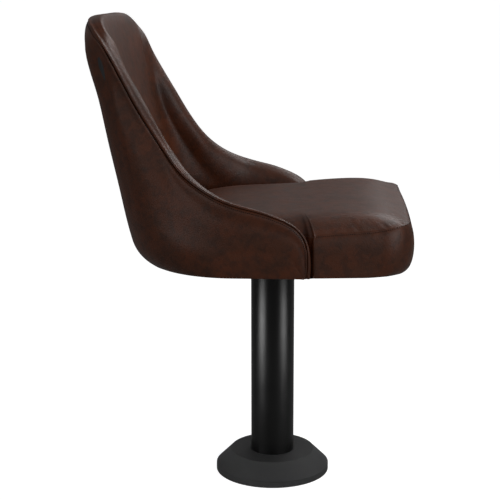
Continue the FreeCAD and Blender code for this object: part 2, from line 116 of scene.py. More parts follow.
class Spline:
    """A cubic through rows of values, with no bend at its free ends."""

    def __init__(self, at, rows):
        self.at = np.asarray(at, float)
        self.rows = np.asarray(rows, float)
        n = len(self.at)
        h = np.diff(self.at)
        system = np.eye(n)
        right = np.zeros_like(self.rows)
        for i in range(1, n - 1):
            system[i, i - 1] = h[i - 1]
            system[i, i] = 2 * (h[i - 1] + h[i])
            system[i, i + 1] = h[i]
            after = (self.rows[i + 1] - self.rows[i]) / h[i]
            before = (self.rows[i] - self.rows[i - 1]) / h[i - 1]
            right[i] = 6 * (after - before)
        self.bend = np.linalg.solve(system, right)

    def __call__(self, t):
        t = np.asarray(t, float)
        i = np.clip(np.searchsorted(self.at, t) - 1, 0, len(self.at) - 2)
        h = (self.at[i + 1] - self.at[i])[:, None]
        a = (self.at[i + 1] - t)[:, None] / h
        b = 1 - a
        value = a * self.rows[i] + b * self.rows[i + 1]
        bend = (a ** 3 - a) * self.bend[i] + (b ** 3 - b) * self.bend[i + 1]
        return value + bend * h * h / 6


def outline(z):
    t = (z - FOOT_Z) / (HIP_Z - FOOT_Z)
    return [lerp(a, b, t) for a, b in zip(FOOT_OUTLINE, HIP_OUTLINE)]


def plan_point(share, z, inset):
    """A point of the shell's plan outline at a height, a share of the way round one half."""
    half_width, reach, corner_radius = outline(z)
    corner_x = half_width - corner_radius
    crown_y = reach - CROWN_RADIUS
    corner_y = crown_y + math.sqrt((CROWN_RADIUS - corner_radius) ** 2 - corner_x ** 2)
    turn = math.asin(corner_x / (CROWN_RADIUS - corner_radius))
    side = corner_y - ARM_START
    corner = corner_radius * (QUARTER_TURN - turn)
    crown = CROWN_RADIUS * turn
    along = share * (side + corner + crown)
    if along < side:
        return np.array((half_width - inset, ARM_START + along, z))
    if along < side + corner:
        angle = QUARTER_TURN - (along - side) / corner_radius
        radius = corner_radius - inset
        return np.array((corner_x + radius * math.sin(angle),
                         corner_y + radius * math.cos(angle), z))
    angle = (side + corner + crown - along) / CROWN_RADIUS
    radius = CROWN_RADIUS - inset
    return np.array((radius * math.sin(angle), crown_y + radius * math.cos(angle), z))


def plan_points(shares, z, insets):
    insets = np.broadcast_to(insets, shares.shape)
    return np.array([plan_point(s, z, i) for s, i in zip(shares, insets)])


def through(controls, counts):
    """Rows of points on smooth lines through rows of control points, a line to a column."""
    controls = np.asarray(controls, float)
    columns = []
    for points in np.moveaxis(controls, 1, 0):
        steps = np.maximum(np.linalg.norm(np.diff(points, axis=0), axis=1), 0.05)
        at = np.concatenate(([0.0], np.cumsum(steps)))
        t = [lerp(at[k], at[k + 1], np.arange(count) / count) for k, count in enumerate(counts)]
        columns.append(Spline(at, points)(np.concatenate((*t, at[-1:]))))
    return np.moveaxis(np.array(columns), 0, 1)


def bezier(a, b, c, d, count):
    """Rows of points on the curve from a to d, without the first."""
    return [a * (1 - t) ** 3 + b * 3 * t * (1 - t) ** 2 + c * 3 * t * t * (1 - t) + d * t ** 3
            for t in np.linspace(0, 1, count + 1)[1:]]


def parabola(a, b, c, t):
    """The point at a share t of a soft bend from a through b to c."""
    first = np.linalg.norm(b - a, axis=-1, keepdims=True)
    second = np.linalg.norm(c - b, axis=-1, keepdims=True)
    m = first / np.maximum(first + second, 0.001)
    return (a * (1 - t) * (m - t) / np.maximum(m, 0.001)
            + b * t * (1 - t) / np.maximum(m * (1 - m), 0.001)
            + c * t * (t - m) / np.maximum(1 - m, 0.001))


def mesh_object(name, vertices, faces):
    mesh = bpy.data.meshes.new(name)
    mesh.from_pydata([tuple(v) for v in vertices], [], faces)
    mesh.validate()
    mesh.update()
    obj = bpy.data.objects.new(name, mesh)
    bpy.context.scene.collection.objects.link(obj)
    mesh.polygons.foreach_set("use_smooth", [True] * len(mesh.polygons))
    return obj


def outward(obj):
    """Turn the faces of a piece to the outside."""
    made = bmesh.new()
    made.from_mesh(obj.data)
    bmesh.ops.recalc_face_normals(made, faces=made.faces)
    made.to_mesh(obj.data)
    made.free()


def grid_faces(rows, columns, close_rows=False):
    """Faces between rows of points, also from the last row to the first if that is asked."""
    faces = []
    last = rows if close_rows else rows - 1
    for i in range(last):
        for j in range(columns - 1):
            a = i * columns + j
            b = ((i + 1) % rows) * columns + j
            faces.append((a, a + 1, b + 1, b))
    return faces


def both_sides(half):
    """Rows of points over the right half, then over the left one. The middle is shared."""
    left = half[:, -2::-1].copy()
    left[..., 0] *= -1
    return np.concatenate((half, left), axis=1)


# The rim's frames: along it, up its edge and out of the chair

COLUMNS = 150
ROWS_PAST_MIDDLE = 6
TANGENT_STEP = 1.0
CREST_ROW = 19
CREST_FORWARD = 9.6
CORNER_RISE = 5.5
CORNER_REACH = 24.0
ARM_FRONT_AT = 30.0
ARM_FRONT_LENGTH = 75.0
TOP_AT = 0.90
TOP_LENGTH = 0.06
STITCH_INSET = 4.6

# Each pair is a size at the foot of the rim and the same size at its top
WALL = (29.0, 42.0)
FRAME_OUT = (3.0, 19.0)
FRAME_DROP = (11.0, 31.0)
ROLL_DROP = (13.0, 20.0)
FRAME_DROP_POWER = 6

# The same sizes at the arm's front end
FRONT_FRAME_OUT = 5.0
FRONT_FRAME_DROP = 8.5
FRONT_ROLL_DROP = 14.0

rows = np.array(RIM_ROWS)
row_steps = np.linalg.norm(np.diff(rows[:, :3], axis=0), axis=1)
row_at = np.concatenate(([0.0], np.cumsum(row_steps)))
past = rows[-2::-1][:ROWS_PAST_MIDDLE].copy()
past[:, (0, 3, 7)] *= -1
past[:, 6] = 2 - past[:, 6]
past_at = 2 * row_at[-1] - row_at[-2::-1][:ROWS_PAST_MIDDLE]
rim_line = Spline(np.concatenate((row_at, past_at)), np.concatenate((rows, past)))
rim_t = np.linspace(0, row_at[-1], COLUMNS)
rim = rim_line(rim_t)
ridge = rim[:, :3]
stitched_line = rim[:, 3:6]
ridge[-1, 0] = 0
stitched_line[-1, 0] = 0
shares = np.clip(rim[:, 6], rows[0, 6], 1.0)
after, before = rim_line(rim_t + TANGENT_STEP), rim_line(rim_t - TANGENT_STEP)
tangent = unit(after[:, :3] - before[:, :3])
lean = ridge - rim[:, 7:10]
edge = unit(lean - tangent * dot(lean, tangent))
out = unit(np.cross(tangent, edge))
crest_at, corner_at, past_corner_at = row_at[CREST_ROW:CREST_ROW + 3]
crest = rising(rim_t, crest_at, corner_at - crest_at)[:, None]
corner_bump = hump(rim_t, 1.0, (corner_at + past_corner_at) / 2, CORNER_REACH)[:, None]
anchor = ridge + crest * np.array((0.0, CREST_FORWARD, 0.0))
anchor = anchor - corner_bump * np.array((0.0, 0.0, CORNER_RISE))
height = np.clip((anchor[:, 2:] - RIM_LOW_Z) / (RIM_HIGH_Z - RIM_LOW_Z), 0, 1)
front = 1 - rising(rim_t, ARM_FRONT_AT, ARM_FRONT_LENGTH)[:, None]
top = rising(height, TOP_AT, TOP_LENGTH)
wall = lerp(*WALL, height)
frame_out = lerp(lerp(*FRAME_OUT, height), FRONT_FRAME_OUT, front)
frame_drop = lerp(lerp(*FRAME_DROP, height ** FRAME_DROP_POWER), FRONT_FRAME_DROP, front)
roll_in = wall - frame_out
roll_drop = lerp(lerp(*ROLL_DROP, height), FRONT_ROLL_DROP, front)
seam_out = out * dot(stitched_line - ridge, out)
seam_down = stitched_line - ridge - seam_out
seam_down -= unit(seam_down) * STITCH_INSET
seam = ridge + seam_out + seam_down


def at_rib(outwards, upwards):
    """A point of each rib, placed near the ridge along the rib's two directions."""
    return anchor + out * outwards + edge * upwards


def plan_line(z, inset, set_at):
    """The shell's outline at a height, stood in by an inset and then set at another height."""
    line = plan_points(shares, z, inset)
    line[:, 2] = set_at
    return line


# Outer panel of the shell, from under the board over the heel to the seam

HEEL_OUT_SHARE = 0.60
HEEL_UP_SHARE = 0.36
HIP_SHARE_MOST = 0.6
LEAST_RISE = 0.5
SHOULDER_BELOW_SEAM = 25.0
SHOULDER_SHARE_MOST = 0.3
SHOULDER_SOFT_SHARE = 0.36
PANEL_BULGE = (0.8, 1.6)
PANEL_BULGE_FROM = (0.25, 0.6)
PANEL_STEPS = (3, 3, 3, 3, 3, 6, 6, 6, 6, 5, 7)
SKIN = 2.6
SEAM_ROUND = 9.0
SEAM_DEPTH = 3.0
LOWEST_Z = FOOT_Z - 0.8

# Inset and height of the lines over which the leather laps under the board
UNDER_LINES = ((12.0, FOOT_Z - 0.2), (2.0, LEATHER_Z + 0.1), (0.4, LEATHER_Z + 0.5))

# How far down the panel and how far behind it the leather's edge is tucked at the seam
TUCKS = ((0.15, 1.0), (0.1, 3.0))

foot = plan_line(FOOT_Z, 0.0, LEATHER_Z)
hip = plan_points(shares, HIP_Z, 0.0)
rise = np.maximum(seam[:, 2] - LEATHER_Z, LEAST_RISE)
hip_share = np.minimum(HIP_SHARE_MOST, (HIP_Z - LEATHER_Z) / np.maximum(rise, 1.0))
hip_up = hip_share * rise / (HIP_Z - LEATHER_Z)
knee = foot + (hip - foot) * hip_up[:, None]
heel = foot + (hip - foot) * (hip_up * HEEL_OUT_SHARE)[:, None]
heel[:, 2] = foot[:, 2] + (knee[:, 2] - foot[:, 2]) * HEEL_UP_SHARE
chord = seam - knee
chord_length = np.linalg.norm(chord, axis=-1, keepdims=True)
share_down = np.minimum(SHOULDER_BELOW_SEAM / np.maximum(chord_length, 1.0), SHOULDER_SHARE_MOST)
shoulder = lerp(seam - chord * share_down, at_rib(frame_out, -frame_drop), top)
chord = shoulder - knee
sideways = unit(np.cross(tangent, chord + np.array((0, 0, 1e-3))))
bulge = lerp(*PANEL_BULGE, rising(height, *PANEL_BULGE_FROM))
panel = [foot]
panel += [parabola(foot, heel, knee, t) for t in (0.2, 0.4, 0.6, 0.8)]
panel += [knee]
panel += [knee + chord * t + sideways * bulge * 4 * t * (1 - t) for t in (0.25, 0.5, 0.75)]
panel += [shoulder, lerp(seam, shoulder, SHOULDER_SOFT_SHARE) + sideways * bulge, seam]
panel_rows = through(panel, PANEL_STEPS)
down_panel = unit(panel_rows[-2] - seam)
face_out = unit(np.cross(tangent, -down_panel))
face_out[0] = face_out[1]
under_seam = seam - face_out * SEAM_DEPTH


def round_over(points):
    """Rows of the panel turned in towards the seam over the last few millimetres."""
    left = np.linalg.norm(points - seam, axis=-1, keepdims=True)
    return points - face_out * SEAM_DEPTH * np.clip(1 - left / SEAM_ROUND, 0, 1) ** 2


panel_rows = np.concatenate((
    [plan_line(LEATHER_Z, inset, z) for inset, z in UNDER_LINES],
    round_over(panel_rows[1:-1]),
    [round_over(seam + down_panel * 0.5)],
    [under_seam + down_panel * down - face_out * behind for down, behind in TUCKS],
))
panel_rows[..., 2] = np.maximum(panel_rows[..., 2], LOWEST_Z)
points = both_sides(panel_rows * MM)
outer = mesh_object("shell_outer", points.reshape(-1, 3), grid_faces(*points.shape[:2]))
outward(outer)

# Padded inside with the rolled rim

ROLL_STEPS = 10
TURN_STEPS = 8
INSIDE_STEPS = (7, 7, 7, 2)
TOP_FLATTEN = 0.35
TURN_REACH = 0.85
FIRST_INSIDE_SHARE = 0.03
PAD_BULGE = 4.0
PAD_BACK_OUT = 0.3
SOFTEN_COLUMNS = 24
SOFTEN_WIDTH = 11.0
SOFTEN_LENGTH = 80.0
PAD_BACK_INSET = 16.0
PAD_BACK_DROP = 8.0

# Share of the rim's height at which each starts, and the share over which it grows to the full
PAD_BULGE_FROM = (0.3, 0.5)
SOFTEN_FROM = (0.22, 0.2)
VALLEY_FROM = (0.3, 0.3)

# How far onto the roll and how far behind the panel the pad's edge starts
PAD_TUCKS = ((0.2, 2.6), (0.25, 0.4))

# How far down the inside the roll has turned and has landed, in length and as the largest share
TURNED_AT = (20.0, 0.25)
LANDED_AT = (78.0, 0.6)

# Height, distance from the seam and width of the ridge beside it and of the valley beyond
SEAM_RIDGE = (0.8, 2.8, 1.5)
SEAM_VALLEY = (1.1, 8.0, 3.2)

outer_roll = []
for angle in np.linspace(QUARTER_TURN, 0, ROLL_STEPS + 1):
    full = ridge + seam_out * math.sin(angle) + seam_down * (1 - math.cos(angle))
    flat = lerp(ridge, seam, angle / QUARTER_TURN)
    outer_roll.append(lerp(full, flat, TOP_FLATTEN * top))
inner_edge = at_rib(-roll_in, -roll_drop)
inside_shares = np.maximum(shares, FIRST_INSIDE_SHARE)
inner_hip = plan_points(inside_shares, HIP_Z, wall[:, 0])
inner_foot = plan_points(inside_shares, BOARD_TOP, wall[:, 0])
low = np.minimum(inner_hip[:, 2], ridge[:, 2])
inner_hip[:, 2] = low
inner_foot[:, 2] = np.minimum(BOARD_TOP, low - 0.5)
down = inner_hip - inner_edge
down_length = np.linalg.norm(down, axis=-1, keepdims=True)
down = down / down_length
turned, landed = (inner_edge + down * np.minimum(length, share * down_length)
                  for length, share in (TURNED_AT, LANDED_AT))
inner_roll = bezier(ridge, anchor - out * roll_in * TURN_REACH, turned, landed, TURN_STEPS)
pad_bulge = PAD_BULGE * rising(height, *PAD_BULGE_FROM)
face_down = inner_hip - landed
inner_rows = [landed + face_down * t - out * pad_bulge * 4 * t * (1 - t) for t in (0.33, 0.67)]
controls = [*outer_roll, *inner_roll, *inner_rows, inner_hip, inner_foot]
roll_rows = through(controls, (2,) * ROLL_STEPS + (3,) * TURN_STEPS + INSIDE_STEPS)
from_ridge = np.linalg.norm(roll_rows - ridge[None], axis=-1)
from_ridge[:2 * ROLL_STEPS] = 0

# The inside made softer along the rim, by a weighted mean over the neighbouring columns

kernel = hump(np.arange(-SOFTEN_COLUMNS, SOFTEN_COLUMNS + 1), 1.0, 0.0, SOFTEN_WIDTH)
kernel /= kernel.sum()
whole = both_sides(roll_rows)
whole = np.pad(whole, ((0, 0), (SOFTEN_COLUMNS, SOFTEN_COLUMNS), (0, 0)), mode="edge")
softened = sum(whole[:, k:k + COLUMNS] * weight for k, weight in enumerate(kernel))
soften = smooth(from_ridge / SOFTEN_LENGTH)[..., None] * rising(height, *SOFTEN_FROM)[None]
roll_rows = lerp(roll_rows, softened, soften)
roll_normal = unit(np.cross(np.gradient(roll_rows, axis=0), tangent[None]))
roll_normal[:, 0] = roll_normal[:, 1]
roll_steps = np.linalg.norm(np.diff(roll_rows, axis=0, prepend=roll_rows[:1]), axis=-1)
from_seam = roll_steps.cumsum(axis=0)[..., None]
swell = hump(from_seam, *SEAM_RIDGE)
swell -= rising(height, *VALLEY_FROM)[None] * hump(from_seam, *SEAM_VALLEY)
roll_rows = roll_rows - roll_normal * swell
back_foot = plan_line(BOARD_TOP, PAD_BACK_INSET, inner_foot[:, 2])
back_hip = plan_line(HIP_Z, PAD_BACK_INSET, np.minimum(HIP_Z, ridge[:, 2] - PAD_BACK_DROP))
back_ridge = ridge + seam_out * PAD_BACK_OUT + seam_down - edge * PAD_BACK_DROP
onto_roll = unit(roll_rows[1] - seam)
pad_rows = np.concatenate((
    [under_seam + onto_roll * onto - face_out * behind for onto, behind in PAD_TUCKS],
    [lerp(under_seam, seam, 0.6) + onto_roll * 0.5],
    roll_rows[1:],
    [back_foot, back_hip, back_ridge],
))
pad_rows[..., 2] = np.maximum(pad_rows[..., 2], LOWEST_Z)
points = both_sides(pad_rows * MM)
row_count, column_count = points.shape[:2]
faces = grid_faces(row_count, column_count, close_rows=True)
faces.append(tuple(i * column_count for i in range(row_count)))
faces.append(tuple((i + 1) * column_count - 1 for i in range(row_count))[::-1])
inner = mesh_object("shell_inner", points.reshape(-1, 3), faces)
outward(inner)

# Seat cushion

CUSHION_FRONT = -238.0
CUSHION_BOW = 3.6
CUSHION_SIDE = 245.0
CUSHION_FRONT_SIDE = 235.0
CUSHION_CORNER = 52.0
ARM_GAP_Y = -71.0
ARM_CORNER = 6.0
NECK_SIDE = 237.0
INNER_SIDE = 223.5
PAD_GAP = 0.8
FRONT_FROM_Y = -150.0
FRONT_LENGTH = 70.0
ARM_END_LENGTH = 6.0
SEAM_SHIFT = 8.0
BACK_LEAN = 7.0
BACK_LEAN_FROM = (60.0, 120.0)
CORNER_X = 200.0
CORNER_Y = -224.0
CORNER_SPREAD = 30.0
CORNER_LIFT = 3.6
CORE_CENTRE = np.array((0.0, -22.0))
CORE_WIDE = 0.60
CORE_LONG = 0.56
CROWN_REACH = 90.0
CROWN_POWER = 3.6
CORE_REACH = 86.0
PUCKER_LENGTH = 9.0
PUCKER_DEPTH = 2.2
PUCKER_REACH = 6.0
PUCKER_ALONG_SIDES = 0.3
PUCKER_SEED = 7.0
GROOVE_WIDE = 0.9
GROOVE_DEEP = 1.2
SIDE_KEPT = 0.25
SEAM_SINK = 0.4

# How far the seam stands in from the plan at the sides and at the front
SEAM_INSET = (5.6, 9.0)

# How far the two rows underneath stand in at the sides and at the front, and their heights
BOTTOM_INSETS = ((24.0, 30.0), (5.0, 18.0))
BOTTOM_HEIGHTS = (0.6, 0.2)

# The neck behind the arm's end, by x and y, and where the inside takes over from it
NECK = ((NECK_SIDE, ARM_GAP_Y), (NECK_SIDE - 1, ARM_GAP_Y + 6),
        (INNER_SIDE + 7, ARM_GAP_Y + 8), (INNER_SIDE + 1, ARM_GAP_Y + 12))
NECK_END_Y = ARM_GAP_Y + 16

# Points along the front, its corner, the side, the arm's corner and the inside
FRONT_POINTS = 34
CORNER_POINTS = 24
SIDE_POINTS = 28
ARM_CORNER_POINTS = 7
INSIDE_POINTS = 46

# Heights of the cushion's seam and of its crown, by y
SEAM_LINE = Spline(
    (-232.0, -222.0, -205.0, -182.0, -154.0, -120.0, -70.0, 0.0, 100.0, 195.0),
    [[z] for z in (486.0, 487.2, 486.4, 483.2, 480.2, 478.2, 474.6, 469.5, 465.0, 462.0)])
CROWN_LINE = Spline(
    (-235.0, -215.0, -195.0, -165.0, -130.0, -98.0, -53.0, 0.0, 50.0, 100.0, 150.0, 195.0),
    [[z] for z in (489.5, 493.0, 496.5, 499.5, 499.5, 497.5, 493.5, 490.5, 487.5, 483.5,
                   478.5, 473.5)])

# Share of the way up the boxing, and how far it stands in at the sides and at the front
BOXING = ((0.0, 1.4, 18.0), (0.03, 0.6, 13.8), (0.08, 0.2, 9.4), (0.15, 0.1, 5.8),
          (0.24, -0.2, 3.0), (0.36, -0.4, 1.2), (0.50, -0.5, 0.4), (0.64, -0.4, 0.8),
          (0.76, 0.2, 2.0), (0.86, 1.4, 4.0), (0.93, 2.9, 5.9), (0.975, 4.6, 7.4))

# Rows of the top, as lengths inwards from the seam and then as shares of the core
TOP_INWARDS = (1.6, 3.2, 5.5, 8.5, 12.5, 17.5, 24.0, 32.0, 42.0, 55.0, 70.0, 85.0)
CORE_SHARES = (0.85, 0.68, 0.5, 0.32, 0.15)


def arc_points(centre, radius, start, end, count):
    angles = np.linspace(start, end, count)
    return [(centre[0] + radius * math.cos(a), centre[1] + radius * math.sin(a)) for a in angles]


def cushion_plan():
    """The right half of the cushion's plan, from the front's middle round to the back's."""
    corner = (CUSHION_FRONT_SIDE - CUSHION_CORNER, CUSHION_FRONT + CUSHION_BOW + CUSHION_CORNER)
    side_end = ARM_GAP_Y - ARM_CORNER
    line = [(corner[0] * t, CUSHION_FRONT + CUSHION_BOW * t * t)
            for t in np.linspace(0, 1, FRONT_POINTS)[:-1]]
    line += arc_points(corner, CUSHION_CORNER, -QUARTER_TURN, 0, CORNER_POINTS)
    line += [(lerp(CUSHION_FRONT_SIDE, CUSHION_SIDE, t), lerp(corner[1], side_end, t))
             for t in np.linspace(0, 1, SIDE_POINTS)[1:]]
    line += arc_points((CUSHION_SIDE - ARM_CORNER, side_end), ARM_CORNER, 0, QUARTER_TURN,
                       ARM_CORNER_POINTS)[1:]
    line += NECK
    inside = np.linspace(0.02, 1.0, INSIDE_POINTS)
    walls = np.interp(inside, shares, wall[:, 0]) + PAD_GAP
    line += [(x, y) for x, y, _ in plan_points(inside, HIP_Z, walls) if y > NECK_END_Y]
    return np.array(line)


plan = cushion_plan()
core = plan.copy()
core[:, 0] = np.minimum(plan[:, 0], INNER_SIDE - 2) * CORE_WIDE
core[:, 1] = CORE_CENTRE[1] + (plan[:, 1] - CORE_CENTRE[1]) * CORE_LONG
normal = np.gradient(plan, axis=0)
normal = unit(np.stack((-normal[:, 1], normal[:, 0]), axis=1)) * -1
frontness = smooth((FRONT_FROM_Y - plan[:, 1]) / FRONT_LENGTH)
from_corner = (plan[:, 0] - CORNER_X) ** 2 + (plan[:, 1] - CORNER_Y) ** 2
cornerness = np.exp(-from_corner / (2 * CORNER_SPREAD ** 2))
in_front = smooth((ARM_GAP_Y + 2 - plan[:, 1]) / ARM_END_LENGTH)
kept = lerp(SIDE_KEPT, 1.0, in_front)


def cushion_row(up, grow):
    """The plan outline grown by a length, at a share of the way up to the seam."""
    row = np.zeros((len(plan), 3))
    row[:, :2] = plan + normal * np.broadcast_to(grow, (len(plan),))[:, None]
    row[:, 1] += BACK_LEAN * up * rising(row[:, 1], *BACK_LEAN_FROM)
    seam_y = np.clip(plan[:, 1] + SEAM_SHIFT * frontness, SEAM_LINE.at[0], SEAM_LINE.at[-1])
    seam_z = SEAM_LINE(seam_y)[:, 0]
    row[:, 2] = lerp(LEATHER_Z, seam_z + cornerness * CORNER_LIFT, up)
    return row


def raised(row, length):
    return row + np.array((0.0, 0.0, length))


ring_rows = [raised(cushion_row(0.0, -lerp(*insets, frontness)), height_above)
             for insets, height_above in zip(BOTTOM_INSETS, BOTTOM_HEIGHTS)]
for up, in_side, in_at_front in BOXING:
    ring_rows.append(cushion_row(up, -lerp(in_side, in_at_front, frontness) * kept))
top_boxing_row = ring_rows[-1]
seam_inset = lerp(*SEAM_INSET, frontness) * kept
seam_row = cushion_row(1.0, -seam_inset)
groove_row = cushion_row(1.0, -seam_inset - GROOVE_WIDE)
ring_rows += [raised(seam_row, -SEAM_SINK), raised(groove_row, -GROOVE_DEEP)]
length = np.linalg.norm(core - seam_row[:, :2], axis=1)
plan_steps = np.linalg.norm(np.diff(plan, axis=0), axis=1)
plan_run = np.concatenate(([0.0], np.cumsum(plan_steps)))
puckers = [noise.noise(Vector((run / PUCKER_LENGTH, 0.0, PUCKER_SEED))) for run in plan_run]
puckers = np.array(puckers) * PUCKER_DEPTH * lerp(PUCKER_ALONG_SIDES, 1.0, cornerness) * in_front
for inwards in TOP_INWARDS:
    share = np.minimum(inwards / length, inwards / CORE_REACH)
    row = seam_row.copy()
    row[:, :2] = seam_row[:, :2] + (core - seam_row[:, :2]) * share[:, None]
    up = 1 - (1 - np.minimum(inwards / CROWN_REACH, 1.0)) ** CROWN_POWER
    row[:, 2] = lerp(seam_row[:, 2], CROWN_LINE(row[:, 1])[:, 0], up)
    row[:, 2] += puckers * (inwards / PUCKER_REACH) * math.exp(1 - inwards / PUCKER_REACH)
    ring_rows.append(row)
for share in CORE_SHARES:
    row = np.zeros_like(seam_row)
    row[:, :2] = CORE_CENTRE + (core - CORE_CENTRE) * share
    row[:, 2] = CROWN_LINE(row[:, 1])[:, 0]
    ring_rows.append(row)
half = np.array(ring_rows) * MM
left = half[:, -2:0:-1].copy()
left[..., 0] *= -1
half[:, 0, 0] = 0
half[:, -1, 0] = 0
rings = np.concatenate((half, left), axis=1)
row_count, around = rings.shape[:2]
faces = []
for i in range(row_count - 1):
    for j in range(around):
        k = (j + 1) % around
        faces.append((i * around + j, i * around + k, (i + 1) * around + k, (i + 1) * around + j))


def closed(first):
    """Faces straight across one ring, from each point to its mirrored one."""
    across = [(j, (around - j) % around) for j in range(around // 2 + 1)]
    for (a, b), (c, d) in zip(across, across[1:]):
        corners = dict.fromkeys((a, c, d, b))
        faces.append(tuple(first + corner for corner in corners))


closed(0)
closed((row_count - 1) * around)
cushion = mesh_object("seat_cushion_top", rings.reshape(-1, 3), faces)
outward(cushion)

# The cushion's leather swollen by a cloth simulation

SWELL_MOST = 5 * MM
SWELL_VOXEL = 6 * MM
SWELL_PRESSURE = 4.0
SWELL_FRAMES = 20
NEAREST = 10
NEAR_SOFTENED = 2 * MM
SEAM_KEPT = 0.1
INWARD_KEPT = 0.15


class Swelling:
    """How air pressure under a cloth skin moves a closed piece, from a remeshed copy of it."""

    def __init__(self, piece, voxel, pressure, frames):
        scene = bpy.context.scene
        copy = bpy.data.objects.new("swelling", piece.data.copy())
        scene.collection.objects.link(copy)
        voxels = copy.modifiers.new("voxels", "REMESH")
        voxels.mode = "VOXEL"
        voxels.voxel_size = voxel
        graph = bpy.context.evaluated_depsgraph_get()
        remeshed = bpy.data.meshes.new_from_object(copy.evaluated_get(graph))
        copy.modifiers.clear()
        copy.data = remeshed
        cloth = copy.modifiers.new("cloth", "CLOTH")
        cloth.settings.use_pressure = True
        cloth.settings.uniform_pressure_force = pressure
        cloth.settings.effector_weights.gravity = 0.0
        cloth.point_cache.frame_end = frames
        start = self.places(remeshed)
        for moment in range(1, frames + 1):
            scene.frame_set(moment)
        graph = bpy.context.evaluated_depsgraph_get()
        swollen = bpy.data.meshes.new_from_object(copy.evaluated_get(graph))
        self.moves = self.places(swollen) - start
        self.tree = kdtree.KDTree(len(start))
        for i, place in enumerate(start):
            self.tree.insert(place, i)
        self.tree.balance()
        bpy.data.objects.remove(copy)
        scene.frame_set(1)

    @staticmethod
    def places(mesh):
        flat = np.empty(len(mesh.vertices) * 3)
        mesh.vertices.foreach_get("co", flat)
        return flat.reshape(-1, 3)

    def at(self, points, most):
        """The move of each point, never more than the most allowed."""
        result = np.zeros_like(points)
        for row, point in zip(result, points):
            near = self.tree.find_n(point, NEAREST)
            weights = np.array([1 / (distance + NEAR_SOFTENED) for _, _, distance in near])
            row += weights @ self.moves[[i for _, i, _ in near]] / weights.sum()
        size = np.linalg.norm(result, axis=1, keepdims=True)
        return result * np.minimum(1, most / np.maximum(size, 1e-6))


# How much of the swelling each row keeps: none underneath, little at the seam, all on the crown

rows_below_boxing = len(BOTTOM_INSETS)
rows_to_groove = rows_below_boxing + len(BOXING) + 2
boxing_kept = [(1 - SEAM_KEPT) * smooth(up / 0.3) * (1 - rising(up, 0.7, 0.3)) + SEAM_KEPT
               for up, _, _ in BOXING]
boxing_kept[0] = 0.0
last = len(TOP_INWARDS) - 1
top_kept = [lerp(SEAM_KEPT, 1.0, smooth(k / last)) for k in range(last + 1)]
row_kept = np.array([0.0] * rows_below_boxing + boxing_kept + [SEAM_KEPT, SEAM_KEPT]
                    + top_kept + [1.0] * len(CORE_SHARES))
column_kept = lerp(SEAM_KEPT, 1.0, np.concatenate((in_front, in_front[-2:0:-1])))
swell_kept = np.outer(row_kept, np.ones(around))
swell_kept[:rows_to_groove] *= column_kept

swelling = Swelling(cushion, SWELL_VOXEL, SWELL_PRESSURE, SWELL_FRAMES)
own_places = Swelling.places(cushion.data)
moves = swelling.at(own_places, SWELL_MOST)
moves *= swell_kept.reshape(-1, 1) * np.array((INWARD_KEPT, INWARD_KEPT, 1.0))
cushion.data.vertices.foreach_set("co", (own_places + moves).ravel())
cushion.data.update()

# Stitches

STITCH_PITCH = 3.3 * MM
STITCH_LENGTH = 2.1 * MM
STITCH_RADIUS = 0.62 * MM
STITCH_SIDES = 6
CUSHION_STITCHES_UP = 0.35
CUSHION_STITCHES_END_Y = ARM_GAP_Y - 5

# How far along the stitch, how thick and how high each of its rings is
STITCH_RINGS = ((-0.5, 0.35, -0.9), (-0.3, 1.0, 0.0), (0.3, 1.0, 0.0), (0.5, 0.35, -0.9))


def part_way(distance, at, line):
    return np.array([np.interp(distance, at, line[:, c]) for c in range(3)])


def stitches(name, line, normals):
    """Short sunk threads laid along a line, each a small rounded bar."""
    steps = np.linalg.norm(np.diff(line, axis=0), axis=1)
    at = np.concatenate(([0.0], np.cumsum(steps)))
    vertices = []
    faces = []
    for k in range(int(at[-1] / STITCH_PITCH)):
        middle = (k + 0.5) * STITCH_PITCH
        centres = [part_way(middle + STITCH_LENGTH * along, at, line)
                   for along, _, _ in STITCH_RINGS]
        direction = unit(centres[-1] - centres[0])
        side = unit(np.cross(direction, part_way(middle, at, normals)))
        up = np.cross(side, direction)
        first = len(vertices)
        for centre, (_, size, lift) in zip(centres, STITCH_RINGS):
            for s in range(STITCH_SIDES):
                angle = 2 * HALF_TURN * s / STITCH_SIDES
                across = side * math.cos(angle) * size + up * (math.sin(angle) * size + lift)
                vertices.append(centre + across * STITCH_RADIUS)
        starts = [first + ring * STITCH_SIDES for ring in range(len(STITCH_RINGS))]
        for start in starts[:-1]:
            for s in range(STITCH_SIDES):
                a = start + s
                b = start + (s + 1) % STITCH_SIDES
                faces.append((a, b, b + STITCH_SIDES, a + STITCH_SIDES))
        faces.append(tuple(starts[0] + s for s in range(STITCH_SIDES))[::-1])
        faces.append(tuple(starts[-1] + s for s in range(STITCH_SIDES)))
    return mesh_object(name, vertices, faces)


def mirrored(line):
    """The same line on the other side of the chair, run the other way."""
    left = line[::-1].copy()
    left[:, 0] *= -1
    return left


def right_to_left(line):
    return np.concatenate((line[:-1], mirrored(line)))


def left_to_right(line):
    return np.concatenate((mirrored(line)[:-1], line))


